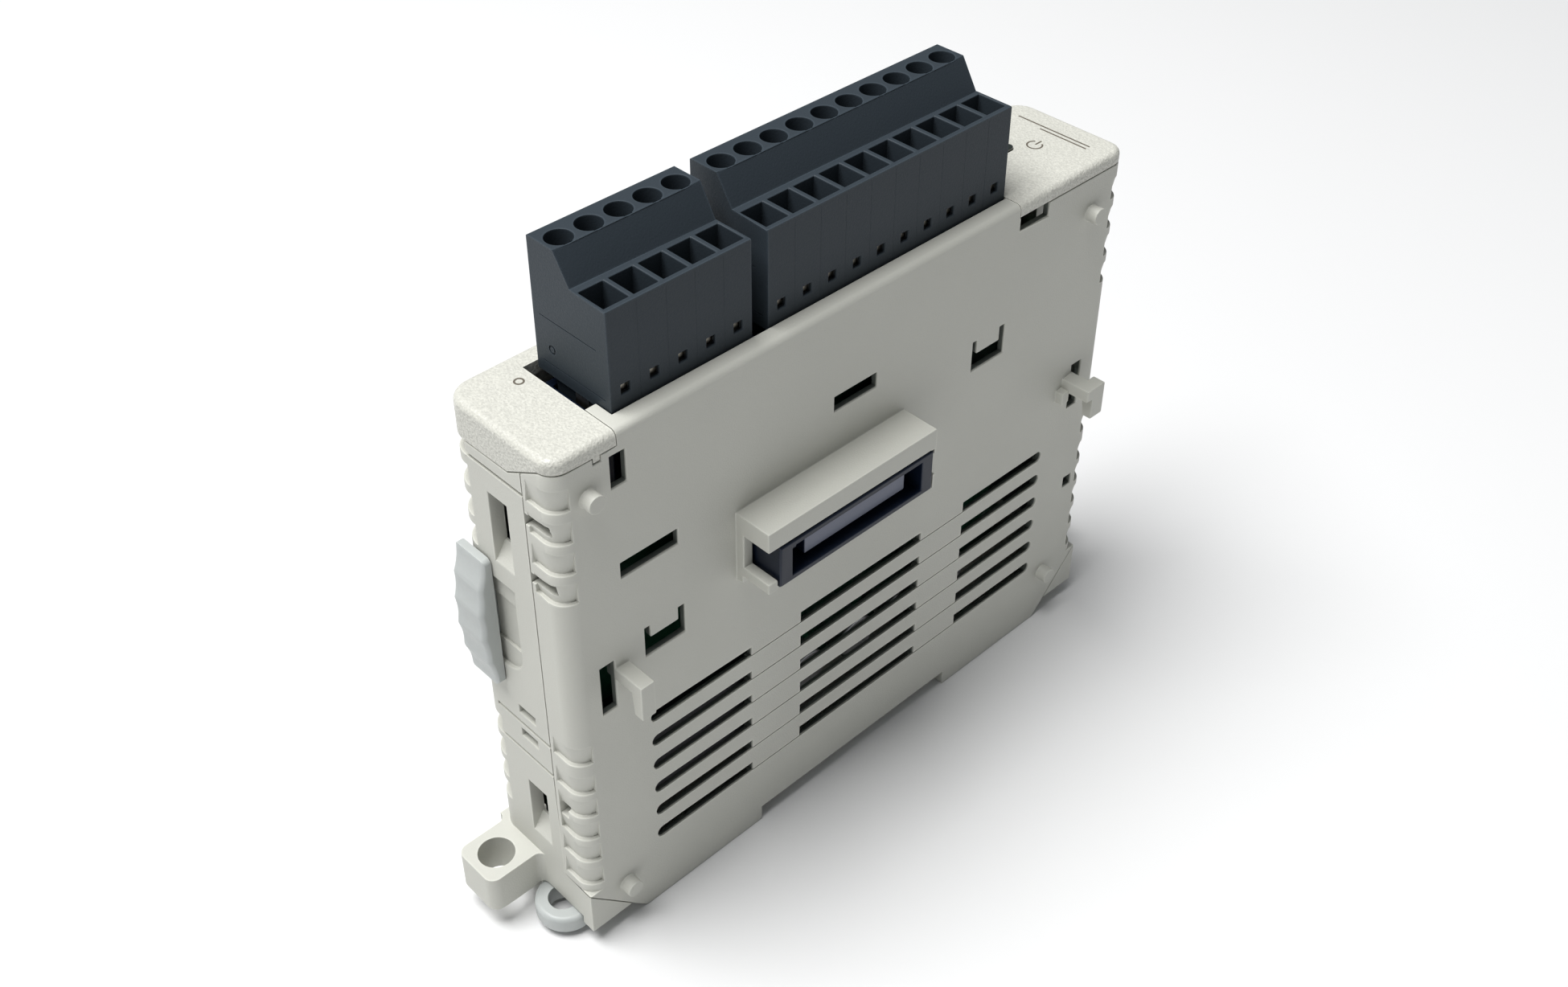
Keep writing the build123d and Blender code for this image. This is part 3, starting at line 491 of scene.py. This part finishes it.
def rounded(node, radius, segments=2):
    """A bmesh of the node with its hard edges rounded, and how often that was repaired."""
    avoid = set()
    for attempt in range(repair_rounds):
        mesh = welded(node)
        old_surface = BVHTree.FromBMesh(mesh)
        old_points = KDTree(len(mesh.verts))
        for vertex in mesh.verts:
            old_points.insert(vertex.co, vertex.index)
        old_points.balance()
        bmesh.ops.bevel(mesh, geom=hard_edges(mesh, radius, avoid), offset=radius, offset_type="OFFSET",
                        segments=segments, profile=0.5, affect="EDGES", clamp_overlap=False)
        stray = {v for v in mesh.verts if old_surface.find_nearest(v.co)[3] > stray_limit * radius}
        if not stray:
            break
        for vertex in stray:
            for edge in vertex.link_edges:
                neighbour = edge.other_vert(vertex)
                if neighbour not in stray:
                    avoid.add(old_points.find(neighbour.co)[1])
        if attempt < repair_rounds - 1:
            mesh.free()
    low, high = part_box(node)
    for vertex in mesh.verts:
        vertex.co = [min(max(value, least), most) for value, least, most in zip(vertex.co, low, high)]
    return mesh, attempt


def baked(source, name):
    """The mesh of an object after its modifier. The object and its modifier are then thrown away."""
    source.update_tag()
    mesh = bpy.data.meshes.new_from_object(source.evaluated_get(bpy.context.evaluated_depsgraph_get()))
    source.modifiers.clear()
    bpy.data.objects.remove(source)
    mesh.name = name
    return mesh


def add_piece(name, mesh, body, replaces):
    """Put a finished mesh into the scene, on its body and in place of the nodes that it replaces."""
    piece = bpy.data.objects.new(name, mesh)
    scene.collection.objects.link(piece)
    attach(piece, body)
    if replaces:
        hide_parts(*replaces)
    return piece


def finished_object(name, mesh, slot, body, replaces=(), sharp=35):
    """Turn a bmesh into a finished piece: smooth faces, sharp folds kept, flat faces kept flat."""
    data = bpy.data.meshes.new(name)
    for face in mesh.faces:
        face.smooth = True
    for edge in mesh.edges:
        edge.smooth = edge.calc_face_angle(0) < math.radians(sharp)
    mesh.to_mesh(data)
    mesh.free()
    data.materials.append(finish[slot])
    source = bpy.data.objects.new(name + "_source", data)
    scene.collection.objects.link(source)
    flatten = source.modifiers.new("flat faces", "WEIGHTED_NORMAL")
    flatten.keep_sharp, flatten.weight = True, 100
    return add_piece(name, baked(source, name), body, replaces)


def soften_witness_lines(mesh, node, depth=0.05 * MM, kept=0.012 * MM):
    """Make the lines between the poles shallower, because a mould this good leaves only a trace of them."""
    face_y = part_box(node)[0].y
    for vertex in mesh.verts:
        if 0.5 * depth < vertex.co.y - face_y < 1.1 * depth:
            vertex.co.y = face_y + kept


moulded_nodes = ["left_case", "right_case", "front_cover", "din_hook", "socket_cover", "terminal_plug_5",
                 "terminal_plug_10", "header_5", "header_10", "expansion_plug", "expansion_socket"]
moulded_nodes += [f"wire_clamp_{number:02d}" for number in range(1, 16)]
moulding_radius, clamp_radius = 0.15 * MM, 0.08 * MM
for node_name in moulded_nodes:
    mesh, repairs = rounded(node_name, clamp_radius if "clamp" in node_name else moulding_radius)
    if "terminal_plug" in node_name:
        soften_witness_lines(mesh, node_name)
    piece = finished_object(node_name + "_moulded", mesh, slot_of_node[node_name], body_of_node[node_name],
                            [node_name])
    if "clamp" not in node_name:
        print(piece.name, len(piece.data.polygons), "faces,", repairs, "repairs")

# %% [markdown]
# The two slide locks are pushed by a thumb, so their backs are fluted.
# Each flute is a shallow hollow between two blunt ridges. The outline is one arc with five hollows pressed
# into it, each shaped like half a sine wave. Several copies of that outline, a little smaller towards the
# sides, round the piece off without a modifier.

# %% Fluted slide locks
flutes, flute_depth, flute_steps = 5, 0.26 * MM, 8
arc_start, arc_share, arc_fullness = 0.10, 0.80, 0.72       # which part of half a turn the arc covers
least_rise = 0.25 * MM
lock_face = cap_high.x + 0.15 * MM
lock_right_y = 3.3 * MM
side_loops = ((0.0, 0.62), (0.12, 0.34), (0.32, 0.13), (0.62, 0.0))      # mm in from the side, shrink in mm
# The neck and the wider foot behind it make a T that runs in the slot of the housing.
neck_y, foot_y = (4.65 * MM, 6.15 * MM), (3.2 * MM, 7.0 * MM)
neck_length, neck_overlap, foot_thickness = 2.25 * MM, 0.1 * MM, 1.0 * MM
runner_low_z, runner_high_z = 40.1 * MM, 50.1 * MM


def add_box(mesh, low, high):
    """Add a closed box between two corners to a bmesh."""
    made = bmesh.ops.create_cube(mesh, size=1.0)
    size, centre = Vector(high) - Vector(low), (Vector(high) + Vector(low)) / 2
    for vertex in made["verts"]:
        vertex.co = Vector([v * abs(s) for v, s in zip(vertex.co, size)]) + centre


def fluted_outline(foot, head, crown):
    """Points (outwards, up) of a lock's back, from head to foot, both measured from its flat face."""
    total = flutes * flute_steps
    points = []
    for i in range(total + 1):
        share = i / total
        bow = math.sin(math.pi * (arc_start + arc_share * share)) ** arc_fullness
        hollow = flute_depth * abs(math.sin(math.pi * flutes * share))
        points.append((max(least_rise, crown * bow - hollow), head + (foot - head) * share))
    return points


def slide_lock(node, end):
    """A bmesh of the fluted lock at one end of the housing: end is -1 for the lower, 1 for the upper one."""
    low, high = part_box(node)
    crown = (abs(low.x) if end < 0 else high.x) - lock_face
    outline = fluted_outline(low.z, high.z, crown)
    outline = [(0.0, high.z)] + outline + [(0.0, low.z)]
    centre_z, half_z = (low.z + high.z) / 2, (high.z - low.z) / 2
    stations = [(lock_right_y + inset * MM, shrink * MM) for inset, shrink in side_loops]
    stations += [(high.y - inset * MM, shrink * MM) for inset, shrink in reversed(side_loops)]
    mesh = bmesh.new()
    rings = []
    for y, shrink in stations:
        scale_x, scale_z = 1 - shrink / crown, 1 - shrink / half_z
        rings.append([mesh.verts.new((end * (lock_face + outwards * scale_x), y,
                                      centre_z + (up - centre_z) * scale_z)) for outwards, up in outline])
    for first, second in zip(rings, rings[1:]):
        for i in range(len(outline)):
            j = (i + 1) % len(outline)
            mesh.faces.new((first[i], first[j], second[j], second[i]))
    mesh.faces.new(rings[0])
    mesh.faces.new(rings[-1])
    neck_start, neck_end = end * (lock_face + neck_overlap), end * (lock_face - neck_length)
    foot_end = neck_end - end * foot_thickness
    add_box(mesh, (neck_start, neck_y[0], runner_low_z), (neck_end, neck_y[1], runner_high_z))
    add_box(mesh, (neck_end, foot_y[0], runner_low_z), (foot_end, foot_y[1], runner_high_z))
    bmesh.ops.recalc_face_normals(mesh, faces=mesh.faces)
    return mesh


for node_name, end in (("slide_lock_lower", -1), ("slide_lock_upper", 1)):
    piece = finished_object(node_name + "_fluted", slide_lock(node_name, end), "slider",
                            body_of_node[node_name], [node_name], sharp=60)
    print(piece.name, len(piece.data.polygons), "faces")

# %% [markdown]
# What repeats is grown by Geometry Nodes.
# Fifteen clamping screws, fifteen pins and the legs round a chip differ only in place and in a few sizes.
# One tree makes each kind from named inputs, and a small function runs the tree on an empty mesh, keeps the
# result as a plain mesh and throws the modifier away.


# %% Helpers for geometry trees
def geometry_tree(name, inputs):
    """An empty geometry tree with its inputs: (name, kind, default), and its material input last."""
    tree = bpy.data.node_groups.new(name, "GeometryNodeTree")
    keys = {}
    for socket_name, kind, default in inputs + [("Finish", "NodeSocketMaterial", None)]:
        socket = tree.interface.new_socket(socket_name, in_out="INPUT", socket_type=kind)
        if default is not None:
            socket.default_value = default
        keys[socket_name] = socket.identifier
    tree.interface.new_socket("Geometry", in_out="OUTPUT", socket_type="NodeSocketGeometry")
    return tree, keys, tree.nodes.new("NodeGroupInput")


def close_tree(tree, given, geometry):
    """End a tree: instances made real, material set, geometry put out."""
    real = tree.nodes.new("GeometryNodeRealizeInstances")
    painted = tree.nodes.new("GeometryNodeSetMaterial")
    put_out = tree.nodes.new("NodeGroupOutput")
    tree.links.new(geometry, real.inputs["Geometry"])
    tree.links.new(real.outputs["Geometry"], painted.inputs["Geometry"])
    tree.links.new(given.outputs["Finish"], painted.inputs["Material"])
    tree.links.new(painted.outputs["Geometry"], put_out.inputs["Geometry"])


def grown(name, tree, keys, slot, body, replaces=(), **values):
    """Run a tree with the given input values and keep its result as a finished piece."""
    source = bpy.data.objects.new(name + "_seed", bpy.data.meshes.new(name + "_seed"))
    scene.collection.objects.link(source)
    modifier = source.modifiers.new("grow", "NODES")
    modifier.node_group = tree
    for key, value in values.items():
        modifier[keys[key.replace("_", " ")]] = value
    modifier[keys["Finish"]] = finish[slot]
    return add_piece(name, baked(source, name), body, replaces)


def linked(tree, kind, sources, **values):
    """A new geometry node with some of its inputs linked: sources maps an input's name to a socket."""
    node = node_of(tree, kind, **values)
    for name, socket in sources.items():
        tree.links.new(socket, node.inputs[name])
    return node


def vector_of(tree, x=0.0, y=0.0, z=0.0):
    """A vector from three sockets or numbers."""
    joined = tree.nodes.new("ShaderNodeCombineXYZ")
    for socket, value in zip(joined.inputs, (x, y, z)):
        set_input(tree, socket, value)
    return joined.outputs[0]


# %% [markdown]
# A clamping screw has a slotted head and a fine thread.
# The slot is cut by a mesh boolean, and a seed turns each slot to an angle of its own, as a screwdriver
# leaves them. The thread is a spiral curve with a four-sided section, because a real ridge catches light that
# a bumped cylinder doesn't.

# %% Slotted clamping screws
head_height, head_taper = 2.2 * MM, 0.93
screw_tree, screw_keys, given = geometry_tree("slotted_screw", [
    ("Centre", VECTOR, None), ("Head radius", FLOAT, 1.42 * MM), ("Head height", FLOAT, head_height),
    ("Slot width", FLOAT, 0.6 * MM), ("Slot depth", FLOAT, 0.95 * MM), ("Shank radius", FLOAT, 0.86 * MM),
    ("Shank length", FLOAT, 3.0 * MM), ("Seed", INTEGER, 0)])
head_radius, head_top = given.outputs["Head radius"], given.outputs["Head height"]
shank_radius, shank_length = given.outputs["Shank radius"], given.outputs["Shank length"]
head = linked(screw_tree, "GeometryNodeMeshCone", {
    "Radius Bottom": head_radius, "Radius Top": maths(screw_tree, head_radius, head_taper),
    "Depth": head_top}, Vertices=40)
cutter_size = vector_of(screw_tree, maths(screw_tree, head_radius, 3.0), given.outputs["Slot width"],
                        maths(screw_tree, given.outputs["Slot depth"], 2.0))
cutter = linked(screw_tree, "GeometryNodeMeshCube", {"Size": cutter_size})
angle = node_of(screw_tree, "FunctionNodeRandomValue", data_type="FLOAT")
angle.inputs[3].default_value = math.pi
screw_tree.links.new(given.outputs["Seed"], angle.inputs["Seed"])
turned = linked(screw_tree, "GeometryNodeTransform", {
    "Geometry": cutter.outputs["Mesh"], "Translation": vector_of(screw_tree, z=head_top),
    "Rotation": vector_of(screw_tree, z=angle.outputs[1])})
slotted = linked(screw_tree, "GeometryNodeMeshBoolean", {
    "Mesh 1": head.outputs["Mesh"], "Mesh 2": turned.outputs["Geometry"]}, operation="DIFFERENCE")
shank = linked(screw_tree, "GeometryNodeMeshCylinder", {
    "Radius": shank_radius, "Depth": shank_length}, Vertices=24)
lowered = linked(screw_tree, "GeometryNodeTransform", {
    "Geometry": shank.outputs["Mesh"],
    "Translation": vector_of(screw_tree, z=maths(screw_tree, shank_length, -0.49))})
spiral = linked(screw_tree, "GeometryNodeCurveSpiral", {
    "Start Radius": shank_radius, "End Radius": shank_radius,
    "Height": maths(screw_tree, shank_length, -0.9)}, Resolution=20, Rotations=6.0)
ridge = node_of(screw_tree, "GeometryNodeCurvePrimitiveCircle", Resolution=4, Radius=0.12 * MM)
thread = linked(screw_tree, "GeometryNodeCurveToMesh", {
    "Curve": spiral.outputs["Curve"], "Profile Curve": ridge.outputs["Curve"]})
thread.inputs["Fill Caps"].default_value = True
whole = screw_tree.nodes.new("GeometryNodeJoinGeometry")
for part in (slotted.outputs["Mesh"], lowered.outputs["Geometry"], thread.outputs["Mesh"]):
    screw_tree.links.new(part, whole.inputs["Geometry"])
placed = linked(screw_tree, "GeometryNodeTransform", {
    "Geometry": whole.outputs["Geometry"], "Translation": given.outputs["Centre"]})
close_tree(screw_tree, given, placed.outputs["Geometry"])

screw_nodes = sorted(node for node in frame["nodes"] if node.startswith("terminal_screw_"))
pole_x = []
for number, node_name in enumerate(screw_nodes, start=1):
    low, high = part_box(node_name)
    pole_x.append((low.x + high.x) / 2)
    centre = (pole_x[-1], (low.y + high.y) / 2, high.z - head_height)
    piece = grown(f"slotted_screw_{number:02d}", screw_tree, screw_keys, "steel", body_of_node[node_name],
                  [node_name], Centre=centre, Seed=number)
print(len(screw_nodes), "screws of", len(piece.data.polygons), "faces each")

# %% [markdown]
# The header pins stand in two rows of one pitch, so a line of points and one pin are enough.
# Each pin has a pointed tip, because the terminal block has to find all of them at once.

# %% Header pins
pin_tree, pin_keys, given = geometry_tree("header_pins", [
    ("Count", INTEGER, 5), ("Pitch", FLOAT, 3.81 * MM), ("First", VECTOR, None),
    ("Side", FLOAT, 1.0 * MM), ("Height", FLOAT, 12.0 * MM), ("Tip", FLOAT, 0.6 * MM)])
side = given.outputs["Side"]
bar_height = maths(pin_tree, given.outputs["Height"], given.outputs["Tip"], "SUBTRACT")
bar = linked(pin_tree, "GeometryNodeMeshCube", {"Size": vector_of(pin_tree, side, side, bar_height)})
raised = linked(pin_tree, "GeometryNodeTransform", {
    "Geometry": bar.outputs["Mesh"],
    "Translation": vector_of(pin_tree, z=maths(pin_tree, bar_height, 0.5))})
point = linked(pin_tree, "GeometryNodeMeshCone", {
    "Radius Bottom": maths(pin_tree, side, math.sqrt(0.5)), "Radius Top": maths(pin_tree, side, 0.35),
    "Depth": given.outputs["Tip"]}, Vertices=4)
capped = linked(pin_tree, "GeometryNodeTransform", {
    "Geometry": point.outputs["Mesh"], "Translation": vector_of(pin_tree, z=bar_height)},
    Rotation=(0, 0, math.pi / 4))
pin = pin_tree.nodes.new("GeometryNodeJoinGeometry")
for part in (raised.outputs["Geometry"], capped.outputs["Geometry"]):
    pin_tree.links.new(part, pin.inputs["Geometry"])
row = linked(pin_tree, "GeometryNodeMeshLine", {
    "Count": given.outputs["Count"], "Start Location": given.outputs["First"],
    "Offset": vector_of(pin_tree, x=given.outputs["Pitch"])}, mode="OFFSET")
pins = linked(pin_tree, "GeometryNodeInstanceOnPoints", {
    "Points": row.outputs["Mesh"], "Instance": pin.outputs["Geometry"]})
close_tree(pin_tree, given, pins.outputs["Instances"])

low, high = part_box("header_pins")
pitch = pole_x[1] - pole_x[0]
rows = (("pins_5", pole_x[:5]), ("pins_10", pole_x[5:]))
for name, places in rows:
    piece = grown(name, pin_tree, pin_keys, "contact", "housing", ["header_pins"] if name == "pins_5" else (),
                  Count=len(places), Pitch=pitch, First=(places[0], (low.y + high.y) / 2, low.z),
                  Height=high.z - low.z)
    print(piece.name, len(piece.data.polygons), "faces")

# %% [markdown]
# Behind the vents the boards show their parts, small and dark.
# The legs of the processor follow its outline, so they sit on a square curve cut into even steps. The small
# resistors and capacitors stand on a grid, and a seeded random value leaves some places empty.

# %% Legs and small parts on the main board
leg_tree, leg_keys, given = geometry_tree("chip_legs", [
    ("Centre", VECTOR, None), ("Width", FLOAT, 12.6 * MM), ("Legs", INTEGER, 48), ("Leg size", VECTOR, None)])
square = linked(leg_tree, "GeometryNodeCurvePrimitiveQuadrilateral", {
    "Width": given.outputs["Width"], "Height": given.outputs["Width"]})
steps = linked(leg_tree, "GeometryNodeResampleCurve", {
    "Curve": square.outputs["Curve"], "Count": given.outputs["Legs"]})
leg = linked(leg_tree, "GeometryNodeMeshCube", {"Size": given.outputs["Leg size"]})
legs = linked(leg_tree, "GeometryNodeInstanceOnPoints", {
    "Points": steps.outputs["Curve"], "Instance": leg.outputs["Mesh"]})
upright = linked(leg_tree, "GeometryNodeTransform", {
    "Geometry": legs.outputs["Instances"], "Translation": given.outputs["Centre"]},
    Rotation=(math.pi / 2, 0, 0))
close_tree(leg_tree, given, upright.outputs["Geometry"])
leg_size = (0.35 * MM, 0.35 * MM, 0.38 * MM)
leg_depth = 0.2 * MM
low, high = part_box("processor_chip")
grown("processor_legs", leg_tree, leg_keys, "contact", "housing",
      Centre=((low.x + high.x) / 2, high.y - leg_depth, (low.z + high.z) / 2), Leg_size=leg_size)

part_tree, part_keys, given = geometry_tree("small_parts", [
    ("Corner", VECTOR, None), ("Columns", INTEGER, 9), ("Rows", INTEGER, 4), ("Spacing", FLOAT, 2.2 * MM),
    ("Part size", VECTOR, None), ("Filled", FLOAT, 0.7), ("Seed", INTEGER, 4)])
spacing, per_row, per_column = [given.outputs[name] for name in ("Spacing", "Columns", "Rows")]
grid = linked(part_tree, "GeometryNodeMeshGrid", {
    "Size X": maths(part_tree, spacing, per_row), "Size Y": maths(part_tree, spacing, per_column),
    "Vertices X": per_row, "Vertices Y": per_column})
chance = node_of(part_tree, "FunctionNodeRandomValue", data_type="FLOAT")
part_tree.links.new(given.outputs["Seed"], chance.inputs["Seed"])
kept = node_of(part_tree, "FunctionNodeCompare", data_type="FLOAT", operation="LESS_THAN")
part_tree.links.new(chance.outputs[1], kept.inputs[0])
part_tree.links.new(given.outputs["Filled"], kept.inputs[1])
small_part = linked(part_tree, "GeometryNodeMeshCube", {"Size": given.outputs["Part size"]})
parts = linked(part_tree, "GeometryNodeInstanceOnPoints", {
    "Points": grid.outputs["Mesh"], "Instance": small_part.outputs["Mesh"], "Selection": kept.outputs[0]})
stood = linked(part_tree, "GeometryNodeTransform", {
    "Geometry": parts.outputs["Instances"], "Translation": given.outputs["Corner"]},
    Rotation=(math.pi / 2, 0, 0))
close_tree(part_tree, given, stood.outputs["Geometry"])
part_size = (1.2 * MM, 0.7 * MM, 0.56 * MM)
for name, slot, place, columns, rows_up in (("chip_capacitors", "capacitor", (-2.0, 29.0), 9, 4),
                                            ("chip_resistors", "chip", (31.0, 26.0), 5, 4)):
    corner = (place[0] * MM, board_low.y - part_size[2] / 2, place[1] * MM)
    piece = grown(name, part_tree, part_keys, slot, "housing", Columns=columns, Rows=rows_up, Corner=corner,
                  Part_size=part_size)
    print(piece.name, len(piece.data.polygons), "faces")

# %% [markdown]
# A coil at the end of the main board finishes the row.
# It is a moulded block that narrows a little towards its top, as parts that leave a mould do. It also closes
# the line of sight from the vents through the latch window at the top end.

# %% Moulded coil
coil_low = Vector((37.2 * MM, -5.4 * MM, 17.0 * MM))
coil_high = Vector((41.6 * MM, board_low.y, 28.0 * MM))
coil = bmesh.new()
add_box(coil, coil_low, coil_high)
coil_middle = (coil_low + coil_high) / 2
taper_x, taper_z = 0.06, 0.04
for vertex in coil.verts:
    if vertex.co.y < coil_middle.y:
        vertex.co.x += taper_x * (coil_middle.x - vertex.co.x)
        vertex.co.z += taper_z * (coil_middle.z - vertex.co.z)
bmesh.ops.bevel(coil, geom=coil.edges[:], offset=0.4 * MM, segments=3, affect="EDGES", profile=0.5)
bmesh.ops.recalc_face_normals(coil, faces=coil.faces)
piece = finished_object("moulded_coil", coil, "chip", "housing")
print(piece.name, len(piece.data.polygons), "faces")

# %% [markdown]
# A few generic marks are printed beside the terminals: the power symbol beside the status light, two plain
# rules across the upper end of the cap and a small ring at its lower end. The ink stands two hundredths of a
# millimetre proud of the plastic, and each mark is a closed flat solid.

# %% Printed marks
ink_height = 0.02 * MM
print_z = cap_high.z


def ink_strip(mesh, points, width, closed=False):
    """A thin solid strip along points (x, y) on the front of the housing, in metres."""
    count = len(points)
    corners = []
    for i, here in enumerate(points):
        before = points[i - 1] if i or closed else here
        after = points[(i + 1) % count] if i < count - 1 or closed else here
        along = (Vector(after) - Vector(before)).normalized()
        aside = Vector((-along.y, along.x)) * width / 2
        corners.append([mesh.verts.new((here[0] + hand * aside.x, here[1] + hand * aside.y,
                                        print_z + rise * ink_height))
                        for hand, rise in ((-1, -1), (1, -1), (1, 1), (-1, 1))])
    for i in range(count if closed else count - 1):
        here, after = corners[i], corners[(i + 1) % count]
        for j in range(4):
            mesh.faces.new((here[j], here[(j + 1) % 4], after[(j + 1) % 4], after[j]))
    if not closed:
        mesh.faces.new(corners[0])
        mesh.faces.new(corners[-1])


def ring_points(centre, radius, start, stop, steps):
    """Points on an arc, angles in degrees from +X."""
    angles = [math.radians(start + (stop - start) * i / steps) for i in range(steps + 1)]
    return [(centre[0] + radius * math.cos(angle), centre[1] + radius * math.sin(angle)) for angle in angles]


stroke = 0.22 * MM
symbol, ring = (37.2 * MM, -0.6 * MM), (-38.4 * MM, 4.4 * MM)
marks = bmesh.new()
ink_strip(marks, ring_points(symbol, 0.95 * MM, 35, 325, 28), stroke)
ink_strip(marks, [(symbol[0] + 0.15 * MM, symbol[1]), (symbol[0] + 1.3 * MM, symbol[1])], stroke)
ink_strip(marks, [(41.6 * MM, -5.6 * MM), (41.6 * MM, 5.6 * MM)], stroke)
ink_strip(marks, [(40.9 * MM, -5.6 * MM), (40.9 * MM, 1.6 * MM)], stroke)
ink_strip(marks, ring_points(ring, 0.5 * MM, 0, 345, 23), stroke, closed=True)
bmesh.ops.recalc_face_normals(marks, faces=marks.faces)
finish["ink"] = printed_ink
piece = finished_object("printed_marks", marks, "ink", "housing")
print(piece.name, len(piece.data.polygons), "faces")

# %% [markdown]
# The last cell prints the size of the finished object; the size of the working model was printed when it was
# loaded. The finished object has to stay inside the working model's box.

# %% Size and finish
low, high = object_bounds()
print("finished size", [round((b - a) / MM, 2) for a, b in zip(low, high)], "mm")
